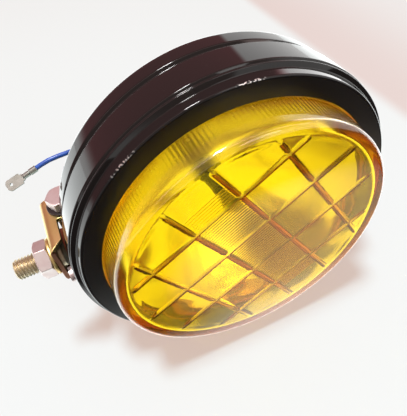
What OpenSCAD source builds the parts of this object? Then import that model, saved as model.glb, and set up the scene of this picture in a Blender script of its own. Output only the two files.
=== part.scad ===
// Round fog light: amber drum lens in a pressed steel rim, reflector and bulb inside,
// a U-bracket that lets the lamp tilt, and a threaded stud on which the bracket swivels.
// Millimetres. +Z is up and the lens faces -Y.
// Origin: on the axis of the mounting stud, at the lower face of its nut.

/* [Front rim] */
// Diameter of the wide band of the rim
rim_d = 156.8; // [150:0.2:164]
// Sheet thickness of the rim
rim_sheet = 0.9; // [0.6:0.1:1.2]
// Depth of the rim from its flat face to its rear edge
rim_depth = 20.8; // [19:0.2:24]
// Width of the ledge outside the step
ledge_w = 3; // [2.4:0.1:4]
// Width of the flat face round the lens
face_w = 8.6; // [7.5:0.1:10]
// Height of the step from the ledge up to the flat face
face_step = 3.8; // [3:0.1:4.5]
// Width of the pressed groove behind the ledge
bead_w = 2.9; // [2:0.1:3.5]
// Depth of the pressed groove
bead_depth = 1.3; // [0.6:0.1:1.6]
// How much the band draws in towards its rear edge
rim_draw = 0.3; // [0:0.1:0.6]

/* [Lens] */
// How far the lens stands out of the rim
lens_proud = 16; // [12:0.5:20]
// Thickness of the glass
glass_t = 4.5; // [3.5:0.1:6]
// Draft of the lens wall, per side
lens_draft = 0.8; // [0:0.1:1.5]
// Radius of the lens's front corner
lens_corner = 3.5; // [2:0.5:5]
// Width of the lens flange behind the rim
lens_flange_w = 5; // [4:0.1:5.5]
// Thickness of the lens flange
lens_flange_t = 4; // [3:0.1:5]
// Pitch of the diamond grid inside the front face
grid_pitch = 23.4; // [18:0.2:26]
// Turn of the diamond grid from the horizontal
grid_turn = 30; // [0:5:85]
// Width of a grid groove
grid_w = 2.6; // [2:0.1:4]
// Depth of a grid groove
grid_depth = 1.2; // [0.8:0.1:2.4]

/* [Housing] */
// How much the drum is drawn in from the rim's band, per side
drum_in = 1.2; // [0.8:0.1:2]
// Sheet thickness of the housing
house_sheet = 1.0; // [0.7:0.1:1.4]
// Depth of the drum from the flat face to the rear wall
drum_depth = 36; // [34:0.5:38]
// Radius of the drum's rear shoulder
shoulder_r = 4; // [3:0.5:5]
// Depth of the groove just behind the rim
neck_depth = 1.3; // [0.6:0.1:1.6]
// Width of the groove just behind the rim
neck_w = 3.4; // [2.5:0.1:4]
// How far the rear dome's edge lies inside the drum
dome_in = 23.2; // [20:0.2:28]
// Room behind the bulb's connector
back_room = 1.5; // [1:0.1:4]
// Where the dome ends in its flat back, as an angle round its curve
dome_end = 75; // [72:1:78]
// Gap between the reflector clips and the housing's mouth
mouth_gap = 1.5; // [1:0.1:2.5]
// Diameter of the hole for the wire grommet
grommet_hole_d = 10; // [8:0.5:12]

/* [Reflector and bulb] */
// How far the mirror's edge lies inside the rim's opening
mirror_in = 0.4; // [0.3:0.1:1.5]
// Focal length of the mirror
focal = 24; // [22.5:0.5:26]
// Sheet thickness of the reflector
mirror_sheet = 0.9; // [0.6:0.1:1.2]
// Width of the reflector's flange
mirror_flange_w = 7; // [6:0.1:7.5]
// Diameter of the bulb hole
bulb_hole_d = 18; // [16:0.5:20]
// Thickness of the lens gasket
gasket_t = 2.5; // [2:0.1:3]
// Diameter of the bulb's glass
bulb_d = 11; // [9:0.2:13]
// How far the bulb's glass reaches past the mirror's focus
bulb_past = 6; // [5:0.5:10]
// Diameter of the bulb's flange
bulb_flange_d = 24; // [22:0.5:26]
// Thickness of the bulb's flange
bulb_flange_t = 1.5; // [1:0.1:2]
// Diameter of the bulb carrier plate
carrier_d = 46; // [42:0.5:50]
// Thickness of the bulb carrier plate
carrier_t = 1; // [0.8:0.1:1.4]
// Length of the bulb's contact tab
tab_l = 8; // [7:0.5:9]
// Width of the contact tabs
tab_w = 6.3; // [4.8:0.1:7]
// Thickness of the contact tabs
tab_t = 0.8; // [0.6:0.1:1]
// Wire of the bulb clip
clip_wire_d = 1.4; // [1:0.1:1.8]
// Number of reflector clips
clip_count = 4; // [3:1:6]

/* [Bracket and pivot] */
// Outer width of the U-bracket
bracket_w = 24; // [23:0.5:30]
// Sheet thickness of the bracket
bracket_sheet = 2.2; // [1.8:0.1:2.6]
// Inside radius of the bracket's bends
bend_r = 1.2; // [1:0.1:4]
// How far the bracket's base reaches ahead of the stud
base_ahead = 8; // [7.5:0.5:12]
// Height of the bracket's low front wings above its base
wing_h = 4.4; // [2.5:0.1:4.4]
// Gap between the rim and the bracket's base
under_gap = 4.4; // [4:0.1:8]
// Gap between the pivot's washers and the housing's rear wall
wall_gap = 1.4; // [1.2:0.1:4]
// Gap between the housing lug and the bracket's base
lug_gap = 2.6; // [2:0.1:5]
// Radius of the ears round the pivot
ear_r = 7.6; // [7:0.1:8]
// Diameter of the pivot bolt
pivot_d = 8; // [6:0.5:8]
// Width across the flats of the pivot bolt's head and nut
pivot_af = 12; // [10:0.5:13]
// Radial clearance of the pivot bolt and of the stud in their holes
hole_clear = 0.3; // [0.2:0.05:0.5]
// Thickness of the housing lug
lug_t = 2.2; // [1.6:0.1:2.6]
// Radius of the housing lug round the pivot
lug_r = 7; // [6.5:0.1:7.6]
// Gap between the lug's foot and the rear dome
foot_gap = 3.3; // [2:0.1:6]

/* [Mounting stud] */
// Diameter of the stud
stud_d = 10; // [8:0.5:10]
// Free length of the stud below its nut
stud_free = 10.5; // [6:0.5:40]
// Distance of the rim's flat face ahead of the stud
face_ahead = 28; // [26:0.5:30]
// Width across the flats of the stud's nut
nut_af = 16; // [15:0.5:19]
// Turn of the stud's nut on its thread
nut_turn = 15; // [0:5:55]
// Height of the stud's nut
nut_h = 6.5; // [6:0.5:10]
// Diameter of the stud's washer
washer_d = 18; // [17:0.5:22]
// Thickness of the stud's washer
washer_t = 1.5; // [1.2:0.1:2.5]
// Height of the stud's flat head
stud_head_h = 2; // [1.5:0.1:2.2]
// Gap between the stud's flat head and the bracket's bends
stud_head_gap = 1.9; // [0.1:0.1:2.5]

/* [Wire] */
// Diameter of the supply wire
wire_d = 2.6; // [2:0.1:3]
// Length of the terminal's blade
blade_l = 9; // [8:0.5:12]

/* [Hidden] */
$fn = 96;

// Clearances: seat is between faces that bear, slip between pieces pushed together
seat = 0.05;
slip = 0.1;
fit = 0.25;
eps = 0.5;

// Radii of the rim
rim_r = rim_d / 2;
face_lean = 0.4;
face_r = rim_r - ledge_w - face_lean;
opening_r = face_r - face_w;
ledge_back = face_step;
band_back = face_step + bead_w;

// Places along the lamp's axis, forward from the rim's flat face
flange_front = -rim_sheet;
flange_back = flange_front - lens_flange_t;
mirror_front = flange_back - gasket_t;
mirror_r = opening_r - mirror_in;
function mirror_z(r) = r * r / (4 * focal);
apex = mirror_front - mirror_z(mirror_r);
neck_r = bulb_hole_d / 2;
carrier_front = apex + mirror_z(neck_r) - mirror_sheet;
carrier_back = carrier_front - carrier_t;
bulb_seat = carrier_back;
bulb_rear = bulb_seat - bulb_flange_t;
plug_l = 8;
cap_l = 8;
cap_r = bulb_d / 2 + 1;
glass_foot = 3;
tab_start = bulb_rear - plug_l;
tab_end = tab_start - tab_l;
focus = apex + focal;
clip_t = 0.8;
clip_w = 10;
clip_back = mirror_front - mirror_sheet - clip_t;
mouth_back = mouth_gap - clip_back;

// Connector on the bulb and the grommet behind it
connector_wall = 0.95;
connector_w = tab_w + 2 * slip + 2 * connector_wall;
connector_t = tab_t + 2 * slip + 4 * connector_wall;
connector_web = 3;
connector_gap = 0.5;
connector_l = tab_l + connector_web;
connector_back = tab_start - connector_gap - connector_l;
grommet_lip = 1.5;
grommet_inner = 3.1;
grommet_tail = 4;

// Housing radii and depths
house_r = rim_r - rim_draw - rim_sheet - fit;
drum_r = rim_r - drum_in;
dome_r = drum_r - dome_in;
dome_steps = 12;
dome_back = connector_back - back_room - grommet_inner - house_sheet;
dome_depth = (-drum_depth - dome_back) / sin(dome_end);

// Root of the stud's thread, where its nut holds
thread_depth = 0.9;
root_r = stud_d / 2 - thread_depth;

// Bracket, pivot and lamp places in the part's frame
base_under = nut_h + washer_t + seat;
base_top = base_under + bracket_sheet;
axis_z = base_top + under_gap + rim_r;
face_y = -face_ahead;
wall_y = face_y + drum_depth;
pivot_washer_r = pivot_d;
pivot_y = wall_y + max(ear_r, pivot_washer_r) + wall_gap;
pivot_z = base_top + lug_r + lug_gap;
ear_inner = bracket_w / 2 - bracket_sheet;
lug_w = 2 * (ear_inner - slip);
stud_head_r = ear_inner - bend_r - stud_head_gap;
flat_r = drum_r - shoulder_r;
foot_z = axis_z - sqrt(flat_r * flat_r - lug_w * lug_w / 4) + fit;
foot_top = axis_z - dome_r - foot_gap;
pivot_hole_r = pivot_d / 2 + hole_clear;
pivot_washer_t = 1.6;
spring_t = 2;
spring_w = 2.6;
sleeve_wall = 1.8;
pivot_head_h = 5.3;
pivot_nut_h = 6.5;
thread_past = 2;

// Rim fastenings
screw_d = 4;
screw_head_d = 7;
screw_head_h = 2.2;
screw_l = 8;
square_nut = 7;
square_nut_h = 3.2;
screw_back = mouth_back + 3;

// Wire clip on the bulb and its screws
clip_leg = bulb_flange_d / 2 - 3;
clip_end = carrier_d / 2 - 4;
clip_screw_d = 2;
clip_head_d = 5;
clip_head_h = 1.2;

// Wire and its terminal
wire_r = wire_d / 2;
grommet_flange_w = 2;
grommet_flange_r = grommet_hole_d / 2 + grommet_flange_w;
grommet_wall = 1.2;
grommet_end = dome_back - grommet_lip - grommet_tail;
exit_y = face_y - grommet_end;
grip_l = 4;
grip_wall = 0.5;
barrel_l = 4.2;
shank_l = 1.6;
shank_w = 4;
blade_hole_d = 1.7;
blade_hole_in = 3;
blade_corner = 2;

// Route of the free wire, from the grommet's tail to the terminal, as offsets from its exit
route = [[0, 0, 0], [0, 4, 0], [-0.3, 7.5, -0.5], [-0.8, 10.8, -2.4], [-1.4, 13, -5.6],
    [-2.2, 13.8, -9.6], [-3, 13.5, -14.2], [-4, 12.5, -19], [-5, 11, -24], [-6, 9.2, -29],
    [-7, 7.2, -34], [-8, 5, -39], [-9, 2.8, -44], [-10, 0.6, -49], [-11, -1.4, -54],
    [-12, -3, -59], [-12.8, -4.2, -64], [-13.3, -5, -69], [-13.2, -5.4, -74], [-12.4, -5.6, -78],
    [-11.4, -5.7, -81.4]];
wire_sides = 8;

// Turns a shape drawn round +Z so that +Z is the lamp's axis, looking forward
module on_axis() {
    translate([0, face_y, axis_z]) rotate([90, 0, 0]) children();
}

// Turns a shape drawn along +Z so that it runs along +X at the pivot
module on_pivot(x) {
    translate([x, pivot_y, pivot_z]) rotate([0, 90, 0]) children();
}

// Arc of points round a centre, for outlines
function arc(c, r, from, to, steps) =
    [for (i = [0 : steps]) let (a = from + (to - from) * i / steps) c + r * [cos(a), sin(a)]];

// Hexagon with a given width across its flats
module hexagon(af) {
    circle(d = af / cos(30), $fn = 6);
}

module ring(outer_r, inner_r, h) {
    difference() {
        cylinder(r = outer_r, h = h);
        translate([0, 0, -eps]) cylinder(r = inner_r, h = h + 2 * eps);
    }
}

module mounting_stud() {
    color("#c9b27a") {
        chamfer = 1;
        translate([0, 0, base_top + seat]) cylinder(r = stud_head_r, h = stud_head_h);
        translate([0, 0, nut_h]) cylinder(d = stud_d, h = base_top + 2 * seat - nut_h);
        translate([0, 0, -eps]) cylinder(r = root_r, h = nut_h + 2 * eps);
        translate([0, 0, -stud_free + chamfer])
            cylinder(d = stud_d, h = stud_free - chamfer);
        translate([0, 0, -stud_free])
            cylinder(d1 = stud_d - 2 * chamfer, d2 = stud_d, h = chamfer);
    }
}

module mounting_nut() {
    color("#cfcac4") difference() {
        linear_extrude(nut_h) rotate(nut_turn) hexagon(nut_af);
        translate([0, 0, -eps]) cylinder(r = root_r + seat, h = nut_h + 2 * eps);
    }
}

module mounting_washer() {
    color("#cdaa55") translate([0, 0, nut_h])
        ring(washer_d / 2, stud_d / 2 + hole_clear, washer_t);
}

// Outline of the bracket's section: a flat base, two bends and two ears
module bracket_section() {
    outer_bend = bend_r + bracket_sheet;
    top = pivot_z + ear_r;
    module u(half_w, low, r) {
        translate([-half_w, low + r]) square([2 * half_w, top - low]);
        translate([-half_w + r, low]) square([2 * (half_w - r), top - low]);
        for (s = [-1, 1]) translate([s * (half_w - r), low + r]) circle(r);
    }
    difference() {
        u(bracket_w / 2, base_under, outer_bend);
        u(ear_inner, base_top, bend_r);
    }
}

// Side view of the bracket: wings at the front, ears rounded over the pivot
module bracket_side() {
    wing_top = base_top + wing_h;
    corner = 0.6;
    polygon(concat([[pivot_y + ear_r, base_under - eps], [-base_ahead, base_under - eps],
        [-base_ahead, base_top - corner], [-base_ahead + wing_h + corner, wing_top],
        [pivot_y - ear_r, wing_top]], arc([pivot_y, pivot_z], ear_r, 180, 0, 16)));
}

module u_bracket() {
    color("#c9a24e") difference() {
        intersection() {
            translate([0, pivot_y + 2 * ear_r, 0]) rotate([90, 0, 0])
                linear_extrude(pivot_y + base_ahead + 4 * ear_r) bracket_section();
            translate([-bracket_w, 0, 0]) rotate([90, 0, 90])
                linear_extrude(2 * bracket_w) bracket_side();
        }
        cylinder(d = stud_d + 2 * hole_clear, h = base_top + bend_r + eps);
        on_pivot(-bracket_w) cylinder(r = pivot_hole_r, h = 2 * bracket_w);
    }
}

module pivot_bolt() {
    head_x = -bracket_w / 2 - pivot_washer_t;
    reach = bracket_w + 2 * pivot_washer_t + spring_t + pivot_nut_h + thread_past;
    color("#d8cfc8") {
        on_pivot(head_x - pivot_head_h) linear_extrude(pivot_head_h) hexagon(pivot_af);
        on_pivot(head_x) cylinder(d = pivot_d, h = reach);
    }
}

module pivot_washers() {
    color("#1b1918") for (x = [-bracket_w / 2 - pivot_washer_t, bracket_w / 2])
        on_pivot(x) ring(pivot_washer_r, pivot_hole_r, pivot_washer_t);
}

module pivot_spring_washer() {
    gap = 1.2;
    color("#b9b4ac") on_pivot(bracket_w / 2 + pivot_washer_t) difference() {
        ring(pivot_d / 2 + spring_w, pivot_hole_r, spring_t);
        translate([0, -gap / 2, -eps]) cube([pivot_d, gap, spring_t + 2 * eps]);
    }
}

module pivot_nut() {
    color("#d8cfc8") on_pivot(bracket_w / 2 + pivot_washer_t + spring_t) difference() {
        linear_extrude(pivot_nut_h) hexagon(pivot_af);
        translate([0, 0, -eps]) cylinder(d = pivot_d + slip, h = pivot_nut_h + 2 * eps);
    }
}

// Outline of the housing, drawn in by the sheet's thickness for its inside
function house_outline(inset) = let (
    neck = -rim_depth,
    ramp = neck_depth,
    neck_r = drum_r - neck_depth) concat(
    [[0, -mouth_back], [house_r - inset, -mouth_back], [house_r - inset, neck],
     [neck_r - inset, neck - ramp / 2], [neck_r - inset, neck - neck_w],
     [drum_r - inset, neck - neck_w - ramp]],
    arc([drum_r - shoulder_r, -drum_depth + shoulder_r], shoulder_r - inset, 0, -90, 6),
    [[dome_r - inset, -drum_depth + inset]],
    [for (i = [0 : dome_steps]) let (a = dome_end * i / dome_steps)
        [(dome_r - inset) * cos(a), -drum_depth - (dome_depth - inset) * sin(a)]],
    [[0, -drum_depth - (dome_depth - inset) * sin(dome_end)]]);

module rear_housing() {
    color("#17130f") difference() {
        on_axis() rotate_extrude() polygon(house_outline(0));
        on_axis() rotate_extrude() polygon(concat([[0, eps]], [[house_r - house_sheet, eps]],
            [for (i = [1 : len(house_outline(house_sheet)) - 1]) house_outline(house_sheet)[i]]));
        on_axis() translate([0, 0, dome_back - dome_depth])
            cylinder(d = grommet_hole_d, h = dome_depth + drum_depth);
        rim_holes();
    }
}

// Holes for the rim screws, at the top and the bottom of the lamp
module rim_holes() {
    on_axis() for (s = [-1, 1]) translate([0, 0, -screw_back]) rotate([-90 * s, 0, 0])
        translate([0, 0, house_r - screw_l]) cylinder(d = screw_d + 2 * hole_clear, h = 2 * screw_l);
}

module housing_lug() {
    low_turn = 230;
    high_turn = 40;
    pivot = [pivot_y, pivot_z];
    side = [[wall_y, foot_top], [wall_y, foot_z],
        pivot + lug_r * [cos(low_turn), sin(low_turn)],
        pivot + lug_r * [cos(high_turn), sin(high_turn)]];
    color("#1a1613") difference() {
        union() {
            for (x = [-lug_w / 2, lug_w / 2 - lug_t]) translate([x, 0, 0]) rotate([90, 0, 90])
                linear_extrude(lug_t) {
                    polygon(side);
                    translate(pivot) circle(lug_r);
                }
            translate([-lug_w / 2, wall_y, foot_z]) cube([lug_w, lug_t, foot_top - foot_z]);
        }
        on_pivot(-lug_w) cylinder(r = pivot_hole_r, h = 2 * lug_w);
    }
}

module pivot_sleeve() {
    color("#a8a29a") on_pivot(-lug_w / 2 + lug_t + seat)
        ring(pivot_hole_r + sleeve_wall, pivot_hole_r, lug_w - 2 * lug_t - 2 * seat);
}

// Outline of the rim's sheet: flat face, step, ledge, pressed groove and band
function rim_outline() = let (t = rim_sheet, low = rim_r - bead_depth) [
    [opening_r, 0], [face_r, 0], [face_r + face_lean, -ledge_back], [rim_r, -ledge_back],
    [low, -ledge_back - bead_w / 2], [rim_r, -band_back], [rim_r - rim_draw, -rim_depth],
    [rim_r - rim_draw - t, -rim_depth], [rim_r - t, -band_back - t / 2],
    [low - t, -ledge_back - bead_w / 2], [low - t, -ledge_back - t],
    [face_r + face_lean - t, -ledge_back - t], [face_r - t, -t], [opening_r, -t]];

module front_rim() {
    color("#17120f") difference() {
        on_axis() rotate_extrude() polygon(rim_outline());
        rim_holes();
    }
}

module rim_screws() {
    color("#8d8880") on_axis() for (s = [-1, 1])
        translate([0, 0, -screw_back]) rotate([-90 * s, 0, 0]) {
            slot = 1.2;
            translate([0, 0, rim_r + fit]) difference() {
                cylinder(d = screw_head_d, h = screw_head_h);
                translate([-screw_head_d, -slot / 2, screw_head_h / 2])
                    cube([2 * screw_head_d, slot, screw_head_h]);
            }
            translate([0, 0, rim_r + fit - screw_l]) cylinder(d = screw_d, h = screw_l);
        }
}

module rim_nuts() {
    top = house_r - house_sheet - fit;
    color("#a49f97") on_axis() for (s = [-1, 1])
        translate([0, 0, -screw_back]) rotate([-90 * s, 0, 0]) difference() {
            translate([-square_nut / 2, -square_nut / 2, top - square_nut_h])
                cube([square_nut, square_nut, square_nut_h]);
            translate([0, 0, top - square_nut_h - eps])
                cylinder(d = screw_d + slip, h = square_nut_h + 2 * eps);
        }
}

lens_r = opening_r - 2 * fit;
lens_top_r = lens_r - lens_draft;

// Radius of the rounded corner inside the glass, and of the flat face within it
lens_inner_corner = lens_corner / 2;
lens_face_r = lens_top_r - glass_t - lens_inner_corner;

// One family of parallel V grooves across the inside of the lens's front face
module grid_grooves(turn) {
    reach = 2 * lens_r;
    lines = floor(lens_top_r / grid_pitch);
    intersection() {
        cylinder(r = lens_face_r, h = lens_proud);
        rotate([0, 0, turn]) for (i = [-lines : lines - 1])
            translate([(i + 0.5) * grid_pitch, reach / 2, lens_proud - glass_t]) rotate([90, 0, 0])
                linear_extrude(reach)
                    polygon([[-grid_w, -grid_depth], [grid_w, -grid_depth], [0, grid_depth]]);
    }
}

module lens() {
    color("#f0a800", 0.75) on_axis() difference() {
        rotate_extrude() polygon(concat(
            [[0, lens_proud]],
            arc([lens_top_r - lens_corner, lens_proud - lens_corner], lens_corner, 90, 0, 6),
            [[lens_r, flange_front], [opening_r + lens_flange_w, flange_front],
             [opening_r + lens_flange_w, flange_back], [lens_r - glass_t, flange_back]],
            arc([lens_face_r, lens_proud - glass_t - lens_inner_corner], lens_inner_corner, 0, 90, 4),
            [[0, lens_proud - glass_t]]));
        for (turn = [grid_turn, grid_turn + 90]) grid_grooves(turn);
    }
}

module lens_gasket() {
    color("#26231f") on_axis() translate([0, 0, mirror_front])
        ring(opening_r + lens_flange_w - fit, mirror_r + fit, gasket_t);
}

module reflector() {
    steps = 14;
    front = [for (i = [0 : steps]) let (r = neck_r + (mirror_r - neck_r) * i / steps)
        [r, apex + mirror_z(r)]];
    back = [for (i = [0 : steps]) let (k = steps - i) let (p = front[k])
        [p[0] + (k == 0 ? 0 : mirror_sheet), p[1] - mirror_sheet]];
    color("#d9d6cf") on_axis() rotate_extrude() polygon(concat(front,
        [[mirror_r + mirror_flange_w, mirror_front],
         [mirror_r + mirror_flange_w, mirror_front - mirror_sheet]], back));
}

// Spring clips that hold the reflector in the rim, hooked behind the pressed groove
module reflector_clips() {
    t = clip_t;
    outer = rim_r - rim_sheet - rim_draw - 2 * fit;
    inner = mirror_r + mirror_flange_w / 2;
    hook = -band_back - clip_back;
    color("#b5b1aa") on_axis() for (i = [0 : clip_count - 1])
        rotate([0, 0, 360 * (i + 0.5) / clip_count]) translate([0, clip_w / 2, 0])
            rotate([90, 0, 0]) linear_extrude(clip_w) {
                translate([inner, clip_back]) square([outer - inner, t]);
                translate([outer - t, clip_back]) square([t, hook]);
                translate([inner, clip_back - 2 * t]) square([t, 3 * t]);
            }
}

module bulb_carrier() {
    color("#bdb8b0") on_axis() translate([0, 0, carrier_back])
        ring(carrier_d / 2, neck_r, carrier_t);
}

module bulb_base() {
    color("#b9b2a6") on_axis() {
        translate([0, 0, bulb_rear]) cylinder(d = bulb_flange_d, h = bulb_flange_t);
        translate([0, 0, bulb_seat]) difference() {
            cylinder(r = cap_r, h = cap_l);
            translate([0, 0, glass_foot]) cylinder(r = bulb_d / 2 + slip, h = cap_l);
        }
        translate([0, 0, tab_start]) cylinder(r = cap_r, h = plug_l);
        translate([-tab_w / 2, -tab_t / 2, tab_end]) cube([tab_w, tab_t, tab_l]);
    }
}

module bulb_glass() {
    wall = 0.9;
    r = bulb_d / 2;
    start = bulb_seat + glass_foot;
    tip = focus + bulb_past;
    color("#f4f4f0", 0.5) on_axis() rotate_extrude() difference() {
        union() {
            translate([0, start]) square([r, tip - r - start]);
            intersection() {
                translate([0, tip - r]) circle(r);
                translate([0, start]) square([r, tip - start]);
            }
        }
        translate([-eps, bulb_seat + cap_l]) square([r - wall + eps, tip - r - bulb_seat - cap_l]);
        intersection() {
            translate([0, tip - r]) circle(r - wall);
            translate([0, tip - r - eps]) square([r, r]);
        }
    }
}

// Coil at the focus, with its two support wires standing on the glass foot
module bulb_filament() {
    coil_l = 5;
    coil_r = 0.8;
    post_r = 0.4;
    spread = 2;
    foot = bulb_seat + cap_l;
    color("#8f8d88") on_axis() {
        translate([0, 0, focus - coil_l / 2]) cylinder(r = coil_r, h = coil_l);
        for (s = [-1, 1]) {
            top = s < 0 ? focus - coil_l / 2 + post_r : focus + coil_l / 2 - post_r;
            translate([spread * s, 0, foot]) cylinder(r = post_r, h = top - foot);
            translate([spread * s, 0, top]) rotate([0, -90 * s, 0])
                cylinder(r = post_r, h = spread);
            translate([spread * s, 0, top]) sphere(post_r);
        }
    }
}

// Bent wire that presses the bulb's flange onto its carrier
module bulb_clip() {
    r = clip_wire_d / 2;
    back = bulb_rear - r - seat;
    color("#c3beb5") on_axis() translate([0, 0, back]) {
        for (s = [-1, 1]) {
            translate([s * clip_leg, -clip_end, 0]) rotate([-90, 0, 0])
                cylinder(r = r, h = 2 * clip_end);
            for (y = [-clip_end, clip_end]) translate([s * clip_leg, y, 0]) sphere(r);
        }
        for (y = [-clip_end, clip_end]) translate([-clip_leg, y, 0]) rotate([0, 90, 0])
            cylinder(r = r, h = 2 * clip_leg);
    }
}

module clip_screws() {
    shank = bulb_flange_t + clip_wire_d + seat;
    inward = clip_wire_d / 2 + slip + clip_screw_d / 2;
    color("#8d8880") on_axis() for (s = [-1, 1])
        translate([0, s * (clip_end - inward), carrier_back - shank]) {
            cylinder(d = clip_screw_d, h = shank);
            translate([0, 0, -clip_head_h]) cylinder(d = clip_head_d, h = clip_head_h);
        }
}

module bulb_connector() {
    color("#d8d4cb", 0.9) on_axis() difference() {
        translate([-connector_w / 2, -connector_t / 2, connector_back])
            cube([connector_w, connector_t, connector_l]);
        translate([-tab_w / 2 - slip, -tab_t / 2 - slip, tab_end - slip])
            cube([tab_w + 2 * slip, tab_t + 2 * slip, connector_l + tab_l]);
    }
}

module inner_lead() {
    color("#2c52b8") on_axis() translate([0, 0, grommet_end])
        cylinder(r = wire_r, h = connector_back - grommet_end);
}

module wire_grommet() {
    wall = dome_back + house_sheet;
    hole_r = grommet_hole_d / 2 - slip;
    inner_r = grommet_hole_d / 2 + grommet_flange_w / 2;
    tail_r = wire_r + grommet_wall;
    taper = 0.8;
    color("#1d1b19") on_axis() rotate_extrude() polygon([
        [wire_r + seat, wall + grommet_inner], [inner_r, wall + grommet_inner],
        [inner_r, wall + 2 * slip], [hole_r, wall + 2 * slip],
        [hole_r, dome_back - slip], [grommet_flange_r, dome_back - slip],
        [grommet_flange_r, dome_back - grommet_lip], [tail_r + taper, dome_back - grommet_lip],
        [tail_r, grommet_end], [wire_r + seat, grommet_end]]);
}

// Points of the free wire in the part's frame
exit = [0, exit_y, axis_z];
path = [for (p = route) exit + p];
last = len(path) - 1;
function unit(v) = v / norm(v);
function heading(i) = unit(path[min(i + 1, last)] - path[max(i - 1, 0)]);

module supply_wire() {
    rings = [for (i = [0 : last]) let (t = heading(i), u = unit(cross(t, [1, 0, 0])), v = cross(t, u))
        for (k = [0 : wire_sides - 1]) let (a = 360 * k / wire_sides)
            path[i] + wire_r * (cos(a) * u + sin(a) * v)];
    sides = [for (i = [0 : last - 1], k = [0 : wire_sides - 1]) let (
        a = i * wire_sides + k, b = i * wire_sides + (k + 1) % wire_sides)
        each [[a, b, b + wire_sides], [a, b + wire_sides, a + wire_sides]]];
    first_cap = [for (k = [1 : wire_sides - 2]) [0, k + 1, k]];
    s = last * wire_sides;
    last_cap = [for (k = [1 : wire_sides - 2]) [s, s + k, s + k + 1]];
    color("#2c52b8") polyhedron(points = rings, faces = concat(sides, first_cap, last_cap));
}

// Male tab crimped on the wire: insulation grip, wire barrel, neck and blade with its hole
module spade_terminal() {
    d = heading(last);
    roll = 45;
    blade_from = grip_l + barrel_l + shank_l;
    color("#cfc8b8") translate(path[last] + slip * d) rotate([0, acos(d[2]), atan2(d[1], d[0])])
        rotate([0, 0, roll]) {
            cylinder(r = wire_r + grip_wall, h = grip_l);
            translate([0, 0, grip_l]) cylinder(r = wire_r - slip, h = barrel_l);
            translate([-shank_w / 2, -tab_t / 2, grip_l + barrel_l])
                cube([shank_w, tab_t, shank_l]);
            translate([-tab_w / 2, -tab_t / 2, blade_from]) difference() {
                cube([tab_w, tab_t, blade_l]);
                translate([tab_w / 2, -eps, blade_l - blade_hole_in]) rotate([-90, 0, 0])
                    cylinder(d = blade_hole_d, h = tab_t + 2 * eps);
                for (x = [0, tab_w]) translate([x, tab_t / 2, blade_l]) rotate([0, 45, 0])
                    cube([blade_corner, tab_t + 2 * eps, blade_corner], center = true);
            }
        }
}

mounting_stud();
mounting_nut();
mounting_washer();
u_bracket();
pivot_bolt();
pivot_washers();
pivot_spring_washer();
pivot_nut();
rear_housing();
housing_lug();
pivot_sleeve();
front_rim();
rim_screws();
rim_nuts();
lens();
lens_gasket();
reflector();
reflector_clips();
bulb_carrier();
bulb_base();
bulb_glass();
bulb_filament();
bulb_clip();
clip_screws();
bulb_connector();
inner_lead();
wire_grommet();
supply_wire();
spade_terminal();
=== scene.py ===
# Looks of the round fog light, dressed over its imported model. Lengths in the dictionaries are millimetres.
import math
import bmesh
import bpy
from mathutils import Matrix, Vector
from mathutils.geometry import delaunay_2d_cdt


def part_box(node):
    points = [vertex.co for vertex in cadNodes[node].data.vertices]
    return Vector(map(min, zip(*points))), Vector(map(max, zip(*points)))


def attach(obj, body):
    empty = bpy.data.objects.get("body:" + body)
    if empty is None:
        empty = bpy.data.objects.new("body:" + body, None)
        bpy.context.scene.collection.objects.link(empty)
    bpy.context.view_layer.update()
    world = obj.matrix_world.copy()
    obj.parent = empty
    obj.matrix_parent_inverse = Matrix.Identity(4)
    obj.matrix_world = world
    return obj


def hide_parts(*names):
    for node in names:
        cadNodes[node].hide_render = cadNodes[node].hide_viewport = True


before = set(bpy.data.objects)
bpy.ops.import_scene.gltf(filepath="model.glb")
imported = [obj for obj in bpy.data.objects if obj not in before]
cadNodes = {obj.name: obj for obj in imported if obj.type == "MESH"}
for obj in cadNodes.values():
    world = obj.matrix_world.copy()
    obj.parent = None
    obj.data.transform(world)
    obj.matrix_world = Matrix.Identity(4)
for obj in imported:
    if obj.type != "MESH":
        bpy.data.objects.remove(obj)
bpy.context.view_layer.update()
scene = bpy.context.scene
scene.view_settings.view_transform = "Standard"
mm = 0.001
tau = 2 * math.pi
print("frame loaded:", len(cadNodes), "nodes")

# where things are, read from the frame, in millimetres
rimLow, rimHigh = [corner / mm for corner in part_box("front_rim")]
boltLow, boltHigh = [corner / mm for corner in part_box("pivot_bolt")]
faceY = rimLow.y                            # flat face of the rim
axisZ = (rimLow.z + rimHigh.z) / 2          # the lamp's axis
rimR = (rimHigh.x - rimLow.x) / 2
pivotY = (boltLow.y + boltHigh.y) / 2
pivotZ = (boltLow.z + boltHigh.z) / 2


# places: a point given round the lamp's axis, the pivot or the stud, as a point of the frame
def onLamp(x, up, h):
    return Vector((x, faceY - h, axisZ + up)) * mm


def onPivot(back, up, along):
    return Vector((along, pivotY + back, pivotZ + up)) * mm


def onStud(x, y, z):
    return Vector((x, y, z)) * mm


# shapes
meshing = dict(weld=0.001, samePoint=1e-5, edgeSteps=2, softAbove=38, cornerShare=0.48, clearShare=0.4)
hexForm = dict(face=0.97, slope=0.55, count=72)             # the round end face as a share of the flats
threadForm = dict(count=48, rows=8, flank=1.25, crest=0.125)        # rows of points to a turn


def polar(radius, angle):
    return radius * math.cos(angle), radius * math.sin(angle)


def fullTurn(count):
    return [tau * k / count for k in range(count)]


def ringOf(radius, height, place, count):
    return [place(*polar(radius, a), height) for a in fullTurn(count)]


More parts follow.
